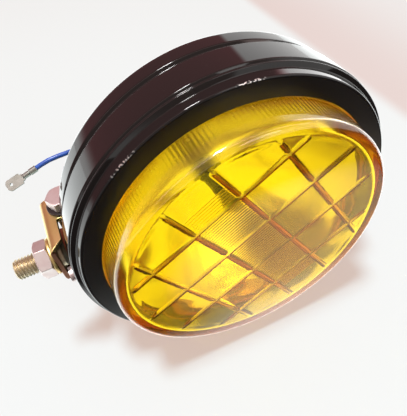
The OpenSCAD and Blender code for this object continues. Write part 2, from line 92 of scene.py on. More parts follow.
def loft(rings, around=False, caps=False):
    points = [point for ring in rings for point in ring]
    count = len(rings[0])
    faces = []
    for i in range(len(rings) if around else len(rings) - 1):
        here, ahead = i * count, (i + 1) % len(rings) * count
        for k in range(count):
            after = (k + 1) % count
            faces.append((here + k, here + after, ahead + after, ahead + k))
    if caps:
        faces.append(tuple(range(count))[::-1])
        faces.append(tuple(range(len(points) - count, len(points))))
    return points, faces


def lathe(outline, place, count):
    return loft([ringOf(r, h, place, count) for r, h in outline], around=True)


def rounded(corners, steps=6):                          # a corner's third value is its radius
    outline = []
    for i, corner in enumerate(corners):
        here = Vector(corner[:2])
        radius = corner[2] if len(corner) > 2 else 0
        if not radius:
            outline.append(tuple(here))
            continue
        back = Vector(corners[i - 1][:2]) - here
        ahead = Vector(corners[(i + 1) % len(corners)][:2]) - here
        half = back.angle(ahead) / 2
        most = meshing["cornerShare"] * min(back.length, ahead.length)
        reach = min(radius / math.tan(half), most)
        radius = reach * math.tan(half)
        inward = (back.normalized() + ahead.normalized()).normalized()
        middle = here + inward * (radius / math.sin(half))
        first = here + back.normalized() * reach - middle
        last = here + ahead.normalized() * reach - middle
        turn = math.atan2(first.x * last.y - first.y * last.x, first.dot(last))
        start = math.atan2(first.y, first.x)
        for k in range(steps + 1):
            x, y = polar(radius, start + turn * k / steps)
            outline.append((middle.x + x, middle.y + y))
    return outline


def arc(centre, radius, first, last, steps):
    turns = [polar(radius, math.radians(first + (last - first) * k / steps)) for k in range(steps + 1)]
    return [(centre[0] + x, centre[1] + y) for x, y in turns]


def joined(*shapes):
    points, faces = [], []
    for shapePoints, shapeFaces in shapes:
        faces += [tuple(k + len(points) for k in face) for face in shapeFaces]
        points += shapePoints
    return points, faces


def lineUp(low, high, step):
    count = max(1, round((high - low) / step))
    return [low + (high - low) * k / count for k in range(count)]


def hexShape(across, low, high, place, turn, bore=0.0, lead=0.5):
    flat, count = across / 2, hexForm["count"]
    angles = fullTurn(count)
    radii = [flat / math.cos((a - math.radians(turn)) % (tau / 6) - tau / 12) for a in angles]
    faceR = hexForm["face"] * flat
    shrunk = [min(r, faceR) for r in radii]
    drops = [hexForm["slope"] * (r - faceR) for r in radii]

    def row(values, heights):
        return [place(*polar(r, a), h) for r, a, h in zip(values, angles, heights)]

    rings = [row(shrunk, [low] * count), row(radii, [low + d for d in drops]),
             row(radii, [high - d for d in drops]), row(shrunk, [high] * count)]
    if not bore:
        return loft(rings, caps=True)
    hole = [(bore + lead, high), (bore, high - lead), (bore, low + lead), (bore + lead, low)]
    return loft(rings + [ringOf(r, h, place, count) for r, h in hole], around=True)


def washerShape(bore, radius, low, high, edges, place, count):      # edges: at the bore and outside
    inner, outer = edges
    outline = [(bore, low, inner), (radius, low, outer), (radius, high, outer), (bore, high, inner)]
    return lathe(rounded(outline), place, count)


def threadRings(radius, depth, pitch, tip, end, place):
    count = threadForm["count"]
    rows = max(2, round(abs(end - tip) / pitch * threadForm["rows"]))
    rings = []
    for i in range(rows + 1):
        h = tip + (end - tip) * i / rows
        most = radius - depth + abs(h - tip)
        ring = []
        for k, a in enumerate(fullTurn(count)):
            turns = (h / pitch - k / count) % 1
            sunk = max(0.0, abs(2 * turns - 1) * threadForm["flank"] - threadForm["crest"])
            ring.append(place(*polar(min(most, radius - depth * sunk), a), h))
        rings.append(ring)
    return rings


def apart(point, first, last):
    share = max(0.0, min(1.0, (point - first).dot(last - first) / (last - first).length_squared))
    return (first + (last - first) * share - point).length


def finer(loop, step):
    outline = []
    for here, ahead in zip(loop, loop[1:] + loop[:1]):
        here, ahead = Vector(here), Vector(ahead)
        count = max(1, math.ceil((ahead - here).length / step))
        outline += [here.lerp(ahead, k / count) for k in range(count)]
    return outline


def sheetShape(loops, thickness, place, step=1.5):      # the outline first, then the holes
    points, edges = [], []
    loops = [finer(loop, step) for loop in loops]
    for loop in loops:
        first = len(points)
        points += loop
        edges += [(first + k, first + (k + 1) % len(loop)) for k in range(len(loop))]
    sides = [(points[a], points[b]) for a, b in edges]
    low = [min(corner[k] for corner in loops[0]) for k in (0, 1)]
    high = [max(corner[k] for corner in loops[0]) for k in (0, 1)]

    def within(here):
        crossed = [here.x < a.x + (here.y - a.y) / (b.y - a.y) * (b.x - a.x) for a, b in sides
                   if (a.y > here.y) != (b.y > here.y)]
        return sum(crossed) % 2

    def clear(here):
        return min(apart(here, a, b) for a, b in sides) > meshing["clearShare"] * step

    spots = [Vector((x, y)) for x in lineUp(low[0], high[0], step) for y in lineUp(low[1], high[1], step)]
    inner = [here for here in spots if within(here) and clear(here)]
    flat, _, faces, origins, _, _ = delaunay_2d_cdt(points + inner, edges, [], 1, meshing["samePoint"])
    faces = [tuple(f) for f in faces if within(sum((flat[k] for k in f), Vector((0, 0))) / len(f))]
    found = {old: new for new, olds in enumerate(origins) for old in olds}
    count = len(flat)
    shape = [place(p.x, p.y, side * thickness / 2) for side in (1, -1) for p in flat]
    walls = [(found[a], found[b], found[b] + count, found[a] + count) for a, b in edges]
    return shape, faces + [tuple(k + count for k in f[::-1]) for f in faces] + walls


def softenEdges(piece, width):
    edges = piece.modifiers.new("softEdges", "BEVEL")
    edges.width = width * mm
    edges.segments = meshing["edgeSteps"]
    edges.limit_method = "ANGLE"
    edges.angle_limit = math.radians(meshing["softAbove"])


def makePiece(name, shape, body, finish, node, crease=42, soften=0.0):
    mesh = bpy.data.meshes.new(name)
    mesh.from_pydata(shape[0], [], shape[1])
    work = bmesh.new()
    work.from_mesh(mesh)
    bmesh.ops.remove_doubles(work, verts=work.verts, dist=meshing["weld"] * mm)
    bmesh.ops.recalc_face_normals(work, faces=work.faces)
    work.to_mesh(mesh)
    work.free()
    mesh.shade_smooth()
    mesh.set_sharp_from_angle(angle=math.radians(crease))
    mesh.materials.append(finish)
    piece = bpy.data.objects.new(name, mesh)
    scene.collection.objects.link(piece)
    if soften:
        softenEdges(piece, soften)
    normals = piece.modifiers.new("faceNormals", "WEIGHTED_NORMAL")
    normals.keep_sharp = True
    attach(piece, body)
    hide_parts(node)
    return piece


# shader sockets that take part in Python expressions
class Sock:
    def __init__(self, tree, socket=None):
        self.tree = tree
        self.socket = socket

    def node(self, kind, settings=None, sockets=None, out=0):
        made = self.tree.nodes.new(kind)
        for key, value in (settings or {}).items():
            setattr(made, key, value)
        for key, value in (sockets or {}).items():
            if isinstance(value, Sock):
                self.tree.links.new(value.socket, made.inputs[key])
            else:
                made.inputs[key].default_value = value
        return Sock(self.tree, made.outputs[out] if made.outputs else None)

    def math(self, operation, first, second):
        return self.node("ShaderNodeMath", {"operation": operation}, {0: first, 1: second})

    def __add__(self, other):
        return self.math("ADD", self, other)

    def __radd__(self, other):
        return self.math("ADD", other, self)

    def __sub__(self, other):
        return self.math("SUBTRACT", self, other)

    def __rsub__(self, other):
        return self.math("SUBTRACT", other, self)

    def __mul__(self, other):
        return self.math("MULTIPLY", self, other)

    def __rmul__(self, other):
        return self.math("MULTIPLY", other, self)

    def __truediv__(self, other):
        return self.math("DIVIDE", self, other)

    def __rtruediv__(self, other):
        return self.math("DIVIDE", other, self)

    def __pow__(self, other):
        return self.math("POWER", self, other)

    def __rpow__(self, other):
        return self.math("POWER", other, self)

    def span(self, low, high, toLow=0.0, toHigh=1.0):
        limits = {"Value": self, "From Min": low, "From Max": high, "To Min": toLow, "To Max": toHigh}
        return self.node("ShaderNodeMapRange", {"interpolation_type": "SMOOTHSTEP"}, limits)

    def spanMm(self, low, high, toLow=0.0, toHigh=1.0):
        return self.span(low * mm, high * mm, toLow, toHigh)

    def mix(self, first, second):
        colours = {"Factor": self, 6: first, 7: second}
        return self.node("ShaderNodeMix", {"data_type": "RGBA"}, colours, out=2)

    def parts(self):
        split = self.node("ShaderNodeSeparateXYZ", None, {"Vector": self})
        return [Sock(self.tree, output) for output in split.socket.node.outputs]

    def noise(self, scale, detail):
        return self.node("ShaderNodeTexNoise", None, {"Vector": self, "Scale": scale, "Detail": detail})

    def bump(self, height, strength, distance):
        relief = {"Height": height, "Strength": strength, "Distance": distance * mm}
        return self.node("ShaderNodeBump", None, relief)


def rgba(*colour):
    return (*colour, 1.0)


def makeFinish(name, constants, varying=None, absorption=None):
    finish = bpy.data.materials.new(name)
    finish.use_nodes = True
    tree = finish.node_tree
    shader = tree.nodes["Principled BSDF"]
    for key, value in constants.items():
        shader.inputs[key].default_value = value
    if varying:
        place = Sock(tree).node("ShaderNodeTexCoord", out=3)
        for key, value in varying(place).items():
            tree.links.new(value.socket, shader.inputs[key])
    if absorption:
        inside = Sock(tree).node("ShaderNodeVolumeAbsorption", None, absorption)
        tree.links.new(inside.socket, tree.nodes["Material Output"].inputs["Volume"])
    return finish


def aroundAxis(place):                                  # sideways, up, ahead of the face, out from the axis
    x, y, z = place.parts()
    up = z - axisZ * mm
    return x, up, faceY * mm - y, (x * x + up * up) ** 0.5


# gloss black paint, knocked off along the rim's edge; the rim's back, behind the glass, is only plated
paint = dict(black=rgba(0.011, 0.0085, 0.008), dust=rgba(0.05, 0.045, 0.042), bare=rgba(0.62, 0.57, 0.55),
             plate=rgba(0.90, 0.88, 0.84), gloss=0.04, ior=1.32, peelScale=260, peel=(0.06, 0.05),
             smearScale=55, smears=(0.35, 0.75), smearRough=0.05,
             speckScale=900, specks=(0.72, 0.80), speckTint=0.12, speckRough=0.05,
             edgeR=75.0, edgeReach=(0.3, 0.75), chipScale=900, chips=(0.52, 0.57), chipRough=0.25,
             knocks=[(-144, 4), (175.5, 3), (20, 7)], knockFade=2,      # middle and half width in degrees
             faceH=(-0.5, -0.2), faceR=(73.8, 74.6), faceRough=0.24,
             backEnd=(-6.2, -6.0), backStart=(-0.8, -0.6), backR=(74.4, 74.7), backLean=0.237, backRough=0.2)


def paintLook(place):
    p = paint
    x, up, ahead, radius = aroundAxis(place)
    fromEdge = ((radius - p["edgeR"] * mm) ** 2 + ahead * ahead) ** 0.5
    nearEdge = 1 - fromEdge.spanMm(*p["edgeReach"])
    worn = 0                                            # stretches of the edge that were knocked
    for middle, half in p["knocks"]:
        a = math.radians(middle)
        facing = (x * math.cos(a) + up * math.sin(a)) / radius
        ends = [math.cos(math.radians(half + fade)) for fade in (p["knockFade"], -p["knockFade"])]
        worn = facing.span(*ends) + worn
    chips = place.noise(p["chipScale"], 3).span(*p["chips"]) * nearEdge * worn
    smears = place.noise(p["smearScale"], 4).span(*p["smears"])
    specks = place.noise(p["speckScale"], 1).span(*p["specks"])
    face = ahead.spanMm(*p["faceH"]) * (1 - radius.spanMm(*p["faceR"]))     # the flat face is duller
    behind = (1 - ahead.spanMm(*p["backStart"])) * ahead.spanMm(*p["backEnd"])
    behind = behind * (1 - (radius + ahead * p["backLean"]).spanMm(*p["backR"]))
    colour = chips.mix((specks * p["speckTint"]).mix(p["black"], p["dust"]), p["bare"])
    rough = (p["gloss"] + smears * p["smearRough"] + specks * p["speckRough"] + face * p["faceRough"]
             + chips * p["chipRough"] + behind * p["backRough"])
    return {"Base Color": behind.mix(colour, p["plate"]), "Metallic": chips + behind, "Roughness": rough,
            "Normal": place.bump(place.noise(p["peelScale"], 2), *p["peel"])}


blackPaint = makeFinish("blackPaint", {"IOR": paint["ior"]}, paintLook)

# plated and bare metals: two tones in clouds, with a fine grain
plating = dict(clouds=(0.32, 0.68), cloudRough=0.14, grain=22, grainRough=0.08, relief=(0.12, 0.03))


def platedLook(pale, deep, rough, scale):
    def look(place):
        clouds = place.noise(scale, 4)
        grain = place.noise(scale * plating["grain"], 2)
        return {"Base Color": clouds.span(*plating["clouds"]).mix(pale, deep),
                "Roughness": rough + clouds * plating["cloudRough"] + grain * plating["grainRough"],
                "Normal": place.bump(grain, *plating["relief"])}
    return look


def makePlated(name, look):
    return makeFinish(name, {"Metallic": 1.0}, look)


yellowLook = platedLook(rgba(0.62, 0.51, 0.20), rgba(0.61, 0.43, 0.20), 0.32, 70)
yellowZinc = makePlated("yellowZinc", yellowLook)
studZinc = makePlated("studZinc", platedLook(rgba(0.60, 0.54, 0.40), rgba(0.49, 0.42, 0.28), 0.38, 160))
paleZinc = makePlated("paleZinc", platedLook(rgba(0.60, 0.55, 0.53), rgba(0.54, 0.45, 0.435), 0.40, 110))
bareSteel = makePlated("bareSteel", platedLook(rgba(0.62, 0.61, 0.59), rgba(0.50, 0.49, 0.47), 0.28, 90))
tinPlate = makePlated("tinPlate", platedLook(rgba(0.34, 0.38, 0.35), rgba(0.28, 0.31, 0.275), 0.30, 180))
mirrorMetal = makePlated("mirrorMetal", platedLook(rgba(0.93, 0.92, 0.89), rgba(0.88, 0.87, 0.84), 0.02, 40))

# painted shade: the bracket is drawn dark red-brown inside the U and on its cut front edge, where they lie in
# the lamp's shade
bracketShade = dict(sides=(9.7, 10.0), above=(10.1, 10.4), front=(-7.7, -7.4),
             colour=rgba(0.17, 0.055, 0.035), share=0.92)


def bracketLook(place):
    look = yellowLook(place)
    x, y, z = place.parts()
    between = 1 - place.math("ABSOLUTE", x, 0).spanMm(*bracketShade["sides"])
    inside = between * z.spanMm(*bracketShade["above"])
    edge = 1 - y.spanMm(*bracketShade["front"])
    # painted shade inside the U and on the cut front edge, mixed into the zinc's colour
    paintedShade = place.math("MAXIMUM", inside, edge) * bracketShade["share"]
    look["Base Color"] = paintedShade.mix(look["Base Color"], bracketShade["colour"])
    return look


bracketZinc = makePlated("bracketZinc", bracketLook)

# rubber, plastic and black oxide
moulding = dict(clouds=(0.3, 0.7), grain=14, grainRough=0.15, relief=(0.15, 0.05))


def mouldedLook(pale, deep, rough, scale=120):
    def look(place):
        clouds = place.noise(scale, 3).span(*moulding["clouds"])
        grain = place.noise(scale * moulding["grain"], 2)
        return {"Base Color": clouds.mix(pale, deep), "Roughness": rough + grain * moulding["grainRough"],
                "Normal": place.bump(grain, *moulding["relief"])}
    return look


blackRubber = makeFinish("blackRubber", {},
                         mouldedLook(rgba(0.022, 0.021, 0.02), rgba(0.012, 0.012, 0.012), 0.5))
blackOxide = makeFinish("blackOxide", {},
                        mouldedLook(rgba(0.020, 0.016, 0.015), rgba(0.010, 0.009, 0.009), 0.28))
paleNylon = makeFinish("paleNylon", {}, mouldedLook(rgba(0.74, 0.71, 0.64), rgba(0.66, 0.62, 0.55), 0.4))
sealRubber = makeFinish("sealRubber",                   # its glow stands for the light that the lens lets in
                        {"Emission Color": rgba(1.0, 0.42, 0.06), "Emission Strength": 0.28},
                        mouldedLook(rgba(0.42, 0.17, 0.04), rgba(0.34, 0.13, 0.03), 0.5))
blueSleeve = makeFinish("blueSleeve", {"Coat Weight": 0.2, "Coat Roughness": 0.2},
                        mouldedLook(rgba(0.022, 0.09, 0.40), rgba(0.016, 0.065, 0.31), 0.34, 220))
# the bulb glass is tinted near black: painted shade for the dark the bulb shows inside the lamp
darkBulb = makeFinish("darkBulb", {"Transmission Weight": 1.0, "Roughness": 0.02, "IOR": 1.47,
                                   "Base Color": rgba(0.035, 0.025, 0.02)})

# amber glass: clear outside, deep yellow in the cells inside, and a painted shade of brown along the V lines
# between them for the grooves' darker look
lensGrid = dict(pitch=23.4, turn=30, shift=(-1.2, 1.3), lineW=(0.5175, 1.15), innerR=(63, 63.4),
                innerH=(14, 14.4), faceR=(55.5, 58.5), faceH=(9, 9.5), wallR=(58.8, 59.8),
                flangeR=(66.1, 66.5))
amber = dict(outside=rgba(1.0, 0.99, 0.92), cells=rgba(0.98, 0.89, 0.10), lines=rgba(0.74, 0.56, 0.30),
             polish=0.005, speckScale=300, specks=(0.55, 0.8), speckRough=0.03, lineRough=0.3, wallRough=0.25,
             flangeRough=0.5, rippleScale=70, ripple=(0.10, 0.25), ior=1.5, coat=0.25, coatRough=0.45,
             depthTint=rgba(0.977, 0.883, 0.05), density=330)


def amberLook(place):
    g, a = lensGrid, math.radians(lensGrid["turn"])
    x, up, ahead, radius = aroundAxis(place)
    u = x * math.cos(a) + up * math.sin(a) - g["shift"][0] * mm
    v = up * math.cos(a) - x * math.sin(a) - g["shift"][1] * mm
    cells = [place.math("FRACT", across / (g["pitch"] * mm), 0) for across in (u, v)]
    gaps = [place.math("ABSOLUTE", cell - 0.5, 0) for cell in cells]
    near = place.math("MINIMUM", *gaps) * g["pitch"]                # millimetres from the nearest line
    inner = (1 - ahead.spanMm(*g["innerH"])) * (1 - radius.spanMm(*g["innerR"]))
    onFace = ahead.spanMm(*g["faceH"]) * (1 - radius.spanMm(*g["faceR"]))
    lines = (1 - near.span(*g["lineW"])) * onFace * inner
    wall = inner * radius.spanMm(*g["wallR"]) * (1 - onFace)        # fluted inside of the drum
    specks = place.noise(amber["speckScale"], 2).span(*amber["specks"])
    rough = (amber["polish"] + specks * amber["speckRough"] + lines * amber["lineRough"]
             + wall * amber["wallRough"] + radius.spanMm(*g["flangeR"]) * amber["flangeRough"])
    # the brown along the V lines is painted shade
    return {"Base Color": inner.mix(amber["outside"], lines.mix(amber["cells"], amber["lines"])),
            "Roughness": rough,
            "Normal": place.bump(place.noise(amber["rippleScale"], 2), *amber["ripple"])}


amberGlass = makeFinish("amberGlass", {"Transmission Weight": 1.0, "IOR": amber["ior"],
                                       "Coat Weight": amber["coat"], "Coat Roughness": amber["coatRough"]},
                        amberLook, {"Color": amber["depthTint"], "Density": amber["density"]})
print("finishes made:", len(bpy.data.materials))

# the camera, at the photograph's viewing angle
camera = dict(place=(-154.1, -138.7, 42.05), right=(0.1128, -0.4026, 0.9084), up=(-0.6531, 0.6589, 0.3732),
              lens=36.35, sensor=36, near=5, far=20000)


def makeCamera():
    data = bpy.data.cameras.new("photoCamera")
    data.lens = camera["lens"]
    data.sensor_width = camera["sensor"]
    data.clip_start = camera["near"] * mm
    data.clip_end = camera["far"] * mm
    shot = bpy.data.objects.new("photoCamera", data)
    right = Vector(camera["right"]).normalized()
    up = Vector(camera["up"])
    up = (up - right * up.dot(right)).normalized()
    back = right.cross(up)
    turn = Matrix((right, up, back)).transposed().to_4x4()
    shot.matrix_world = Matrix.Translation(Vector(camera["place"]) * mm) @ turn
    scene.collection.objects.link(shot)
    scene.camera = shot


makeCamera()

# the supply wire: the same route as the model's, as steps from where it leaves its grommet
wire = dict(diameter=2.6, roundSteps=5, route=[
    (0, 0, 0), (0, 4, 0), (-0.3, 7.5, -0.5), (-0.8, 10.8, -2.4), (-1.4, 13, -5.6), (-2.2, 13.8, -9.6),
    (-3, 13.5, -14.2), (-4, 12.5, -19), (-5, 11, -24), (-6, 9.2, -29), (-7, 7.2, -34), (-8, 5, -39),
    (-9, 2.8, -44), (-10, 0.6, -49), (-11, -1.4, -54), (-12, -3, -59), (-12.8, -4.2, -64), (-13.3, -5, -69),
    (-13.2, -5.4, -74), (-12.4, -5.6, -78), (-11.4, -5.7, -81.4)])
wireExit = Vector((0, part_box("wire_grommet")[1].y / mm, axisZ))
wirePath = [(wireExit + Vector(step)) * mm for step in wire["route"]]


def makeWire():
    data = bpy.data.curves.new("supplyWire", "CURVE")
    data.dimensions = "3D"
    data.bevel_depth = wire["diameter"] / 2 * mm
    data.bevel_resolution = wire["roundSteps"]
    data.use_fill_caps = True
    line = data.splines.new("POLY")
    line.points.add(len(wirePath) - 1)
    for point, place in zip(line.points, wirePath):
        point.co = (*place, 1)
    line.use_smooth = True
    data.materials.append(blueSleeve)
    piece = bpy.data.objects.new("supplyWire", data)
    scene.collection.objects.link(piece)
    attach(piece, "lamp")
    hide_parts("supply_wire")
    return piece


supplyWire = makeWire()

# the front rim: flat face, step, ledge, pressed groove, band
rim = dict(openingR=66.4, faceR=75.0, lean=0.9, step=3.8, slope=0.9, bead=2.9, beadDepth=1.3, draw=0.3,
           depth=20.8, sheet=0.9, count=288)


def makeRim():
    t, ledge, low = rim["sheet"], -rim["step"], rimR - rim["beadDepth"]
    bead, band = ledge - rim["slope"], ledge - rim["bead"]
    middle = (bead + band) / 2
    stepR, tailR = rim["faceR"] + rim["lean"], rimR - rim["draw"]
    outline = rounded([
        (rim["openingR"], 0, 0.35), (rim["faceR"], 0, 0.9), (stepR, ledge, 0.5), (rimR, bead, 0.55),
        (low, middle, 0.5), (rimR, band, 0.7), (tailR, -rim["depth"], 0.4), (tailR - t, -rim["depth"], 0.3),
        (rimR - t, band - t / 2), (low - t, middle), (low - t, ledge - t), (stepR - t, ledge - t),
        (rim["faceR"] - t, -t), (rim["openingR"], -t)])
    shape = lathe(outline, onLamp, rim["count"])
    makePiece("frontRim", shape, "lamp", blackPaint, "front_rim")


makeRim()

# the rear housing: a drum with a neck behind the rim, a rounded shoulder and a domed back
housing = dict(mouth=10.6, mouthR=76.95, neckR=75.9, neckW=3.4, drumR=77.2, depth=36, shoulder=4, domeR=54,
               domeEnd=75, domeSteps=18, domeCorner=2.5, sheet=1.0, holeR=5, foot=3, count=288)


def makeHousing():
    h, t, rimBack = housing, housing["sheet"], -rim["depth"]
    domeBack = -(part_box("rear_housing")[1].y / mm - faceY)
    drop = (-h["depth"] - domeBack) / math.sin(math.radians(h["domeEnd"]))
    turns = [math.radians(h["domeEnd"] * (k + 1) / h["domeSteps"]) for k in range(h["domeSteps"])]

    def dome(inset):
        wide, deep = h["domeR"] - inset, drop - inset
        return [(wide * math.cos(a), -h["depth"] - deep * math.sin(a)) for a in turns]

    ramp = h["drumR"] - h["neckR"]
    neckEnd = rimBack - h["neckW"]
    outside = [(h["mouthR"], -h["mouth"]), (h["mouthR"], rimBack), (h["neckR"], rimBack - ramp / 2, 0.4),
               (h["neckR"], neckEnd, 0.8), (h["drumR"], neckEnd - ramp, 0.9),
               (h["drumR"], -h["depth"], h["shoulder"]), (h["domeR"], -h["depth"], h["foot"])] + dome(0)
    outside[-1] = (*outside[-1], h["domeCorner"])
    inside = [(h["mouthR"] - t, -h["mouth"]), (h["neckR"] - t, neckEnd), (h["drumR"] - t, neckEnd - ramp),
              (h["drumR"] - t, -h["depth"] + t, h["shoulder"] - t),
              (h["domeR"] - t, -h["depth"] + t, h["foot"])] + dome(t)
    inside.append((h["holeR"], domeBack + t))
    outline = rounded(outside + [(h["holeR"], domeBack)] + inside[::-1])
    shape = lathe(outline, onLamp, h["count"])
    makePiece("rearHousing", shape, "lamp", blackPaint, "rear_housing")


makeHousing()
print("shells made")

# the lens: a drum of amber glass, smooth outside; inside, V lines between pillowed cells, and fine flutes
lens = dict(topR=65.1, baseR=65.9, corner=3.5, glass=4.5, flangeR=71.4, flangeT=4, flangeCorner=0.5,
            innerCorner=1.75, dome=0.3, grooveW=1.3, grooveDepth=1.1, pillow=0.5, fade=2.6,
            step=0.75, faceStep=4, edgeClear=0.3,                   # how far apart the points lie
            flute=1.5, fluteDepth=0.08, fluteReach=46, fluteFade=(0.8, 2), fluteSteps=6,
            wallFlutes=216, wallSteps=4, wallDepth=0.06, wallRows=10, wallFade=(2, 6))
grooveLines = [lensGrid["pitch"] * k for k in (-1.5, -0.5, 0.5, 1.5)]


def discMesh(radius, grid, count):
    ring = [Vector(polar(radius, a)) for a in fullTurn(count)]
    inner = [point for point in grid if point.length < radius - lens["edgeClear"]]
    edges = [(k, (k + 1) % count) for k in range(count)]
    flat, _, triangles, _, _, _ = delaunay_2d_cdt(ring + inner, edges, [], 1, meshing["samePoint"])
    return flat, [tuple(face) for face in triangles]


def gridStops(step):
    marks = [-lens["topR"]]
    for line in grooveLines:
        marks += [line - lens["grooveW"], line, line + lens["grooveW"]]
    marks.append(lens["topR"])
    return [stop for low, high in zip(marks, marks[1:]) for stop in lineUp(low, high, step)]


def turned(u, v):
    a = math.radians(lensGrid["turn"])
    u += lensGrid["shift"][0]
    v += lensGrid["shift"][1]
    return Vector((u * math.cos(a) - v * math.sin(a), u * math.sin(a) + v * math.cos(a)))


def easing(value):
    value = min(1.0, max(0.0, value))
    return value * value * (3 - 2 * value)


def innerHeight(point, radius):
    g, pitch, a = lens, lensGrid["pitch"], math.radians(lensGrid["turn"])
    u = point.x * math.cos(a) + point.y * math.sin(a) - lensGrid["shift"][0]
    v = point.y * math.cos(a) - point.x * math.sin(a) - lensGrid["shift"][1]
    near = min(abs(value - line) for line in grooveLines for value in (u, v))
    height = g["grooveDepth"] * max(0.0, 1 - near / g["grooveW"])
    height -= g["pillow"] * abs(math.cos(math.pi * u / pitch) * math.cos(math.pi * v / pitch))
    fadeV, fadeU = g["fluteFade"]
    fluted = easing((pitch / 2 - g["grooveW"] - abs(v)) / fadeV) * easing((g["fluteReach"] - abs(u)) / fadeU)
    height -= g["fluteDepth"] * fluted * (1 - math.cos(tau * u / g["flute"]))
    return height * easing((radius - point.length) / g["fade"])


def makeLens():
    g = lens
    lensLow, lensHigh = [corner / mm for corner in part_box("lens")]
    proud, back = faceY - lensLow.y, faceY - lensHigh.y
    front = back + g["flangeT"]
    count = g["wallFlutes"] * g["wallSteps"]
    faceR = g["topR"] - g["corner"]
    innerR = g["topR"] - g["glass"] - g["innerCorner"]
    wide = lineUp(-g["topR"], g["topR"], g["faceStep"])
    flat, faces = discMesh(faceR, [Vector((x, y)) for x in wide for y in wide], count)
    outerFace = [onLamp(p.x, p.y, proud + g["dome"] * (1 - (p.length / faceR) ** 2)) for p in flat], faces

    coarse, fine = gridStops(g["step"]), gridStops(g["flute"] / g["fluteSteps"])
    grid = [turned(u, v) for v in coarse for u in (fine if abs(v) < lensGrid["pitch"] / 2 else coarse)]
    flat, faces = discMesh(innerR, grid, count)
    innerFace = [onLamp(p.x, p.y, proud - g["glass"] + innerHeight(p, innerR)) for p in flat], faces

    corner = arc((faceR, proud - g["corner"]), g["corner"], 90, 0, 8)
    outline = rounded([(g["baseR"], front), (g["flangeR"], front, g["flangeCorner"]),
                       (g["flangeR"], back, g["flangeCorner"]), (g["baseR"] - g["glass"], back)], 3)
    rings = [ringOf(r, h, onLamp, count) for r, h in corner + outline]
    wallTop, rows = proud - g["glass"] - g["innerCorner"], g["wallRows"]
    fadeIn, fadeOut = g["wallFade"]
    for k in range(1, rows):
        h = back + (wallTop - back) * k / rows
        r = g["baseR"] - g["glass"] - (g["baseR"] - g["topR"]) * k / rows
        depth = g["wallDepth"] * easing(k / fadeIn) * easing((rows - k) / fadeOut)
        radii = [(r - depth * (1 - math.cos(g["wallFlutes"] * a)), a) for a in fullTurn(count)]
        rings.append([onLamp(*polar(*spot), h) for spot in radii])
    rings += [ringOf(r, h, onLamp, count) for r, h in arc((innerR, wallTop), g["innerCorner"], 0, 90, 4)]
    shape = joined(outerFace, loft(rings), innerFace)
    makePiece("amberLens", shape, "lamp", amberGlass, "lens", crease=55)


makeLens()

# inside the lamp: the mirror, and the looks of the pieces that stay as the model has them
mirror = dict(r=66, flangeR=73, neckR=9, focal=24, sheet=0.9, steps=40, count=192)
plainNodes = dict(lens_gasket=sealRubber, reflector_clips=bareSteel, bulb_carrier=bareSteel,
                  bulb_base=bareSteel, bulb_glass=darkBulb, bulb_filament=bareSteel, bulb_clip=bareSteel,
                  clip_screws=bareSteel, bulb_connector=paleNylon, inner_lead=blueSleeve, rim_nuts=paleZinc,
                  rim_screws=paleZinc, pivot_sleeve=bareSteel, wire_grommet=blackRubber,
                  housing_lug=blackPaint)


def makeMirror():
    m, t = mirror, mirror["sheet"]
    front = faceY - (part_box("reflector")[0] / mm).y
    apex = front - m["r"] ** 2 / (4 * m["focal"])
    radii = [m["neckR"] + (m["r"] - m["neckR"]) * k / m["steps"] for k in range(m["steps"] + 1)]
    bowl = [(r, apex + r * r / (4 * m["focal"])) for r in radii]
    shell = [(r + t / 2, h - t) for r, h in bowl]
    outline = bowl + [(m["flangeR"], front), (m["flangeR"], front - t)] + shell[::-1]
    shape = lathe(outline, onLamp, m["count"])
    makePiece("mirrorBowl", shape, "lamp", mirrorMetal, "reflector")


makeMirror()
for name, finish in plainNodes.items():
    cadNodes[name].data.materials.clear()
    cadNodes[name].data.materials.append(finish)
print("lens and inside made")

# the mount: threaded stud, its nut and washer
stud = dict(r=5.0, pitch=1.5, depth=0.85, threadEnd=1.0, rootR=4.1, blend=0.2, headT=2, headEdge=0.5,
            nutH=6.5, nutAcross=16, nutTurn=15, nutBore=4.9, nutLead=0.6,
            washerR=9, washerTop=8, washerBore=5.3, washerEdges=(0.2, 0.5), washerCount=96)


def makeMount():
    s = stud
    headLow, headHigh = [corner.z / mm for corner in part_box("mounting_stud")]
    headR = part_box("mounting_stud")[1].x / mm
    bracketTop = headHigh - s["headT"]
    plain = [(s["rootR"], s["threadEnd"] + s["blend"]), (s["rootR"], s["nutH"] - s["blend"]),
             (s["r"], s["nutH"] + s["blend"]), (s["r"], bracketTop), (headR, bracketTop),
             (headR, headHigh - s["headEdge"]), (headR - s["headEdge"], headHigh)]
    rings = threadRings(s["r"], s["depth"], s["pitch"], headLow, s["threadEnd"], onStud)
    rings += [ringOf(r, h, onStud, threadForm["count"]) for r, h in plain]
    bolt = loft(rings, caps=True)
    makePiece("mountingStud", bolt, "mount_hardware", studZinc, "mounting_stud", crease=60)
    nut = hexShape(s["nutAcross"], 0, s["nutH"], onStud, s["nutTurn"], s["nutBore"], s["nutLead"])
    makePiece("mountingNut", nut, "mount_hardware", paleZinc, "mounting_nut",
              crease=25, soften=0.2)
    washer = washerShape(s["washerBore"], s["washerR"], s["nutH"], s["washerTop"], s["washerEdges"],
                         onStud, s["washerCount"])
    makePiece("mountingWasher", washer, "mount_hardware", yellowZinc, "mounting_washer")


makeMount()

# the bracket: one strip folded to a U, with clipped front corners and two round ears
bracket = dict(sheet=2.2, bend=1.2, front=-8, corner=0.6, wingH=4.4, neckY=9.8, earR=7.6,
               studBore=5.3, pinBore=4.3, step=0.8)


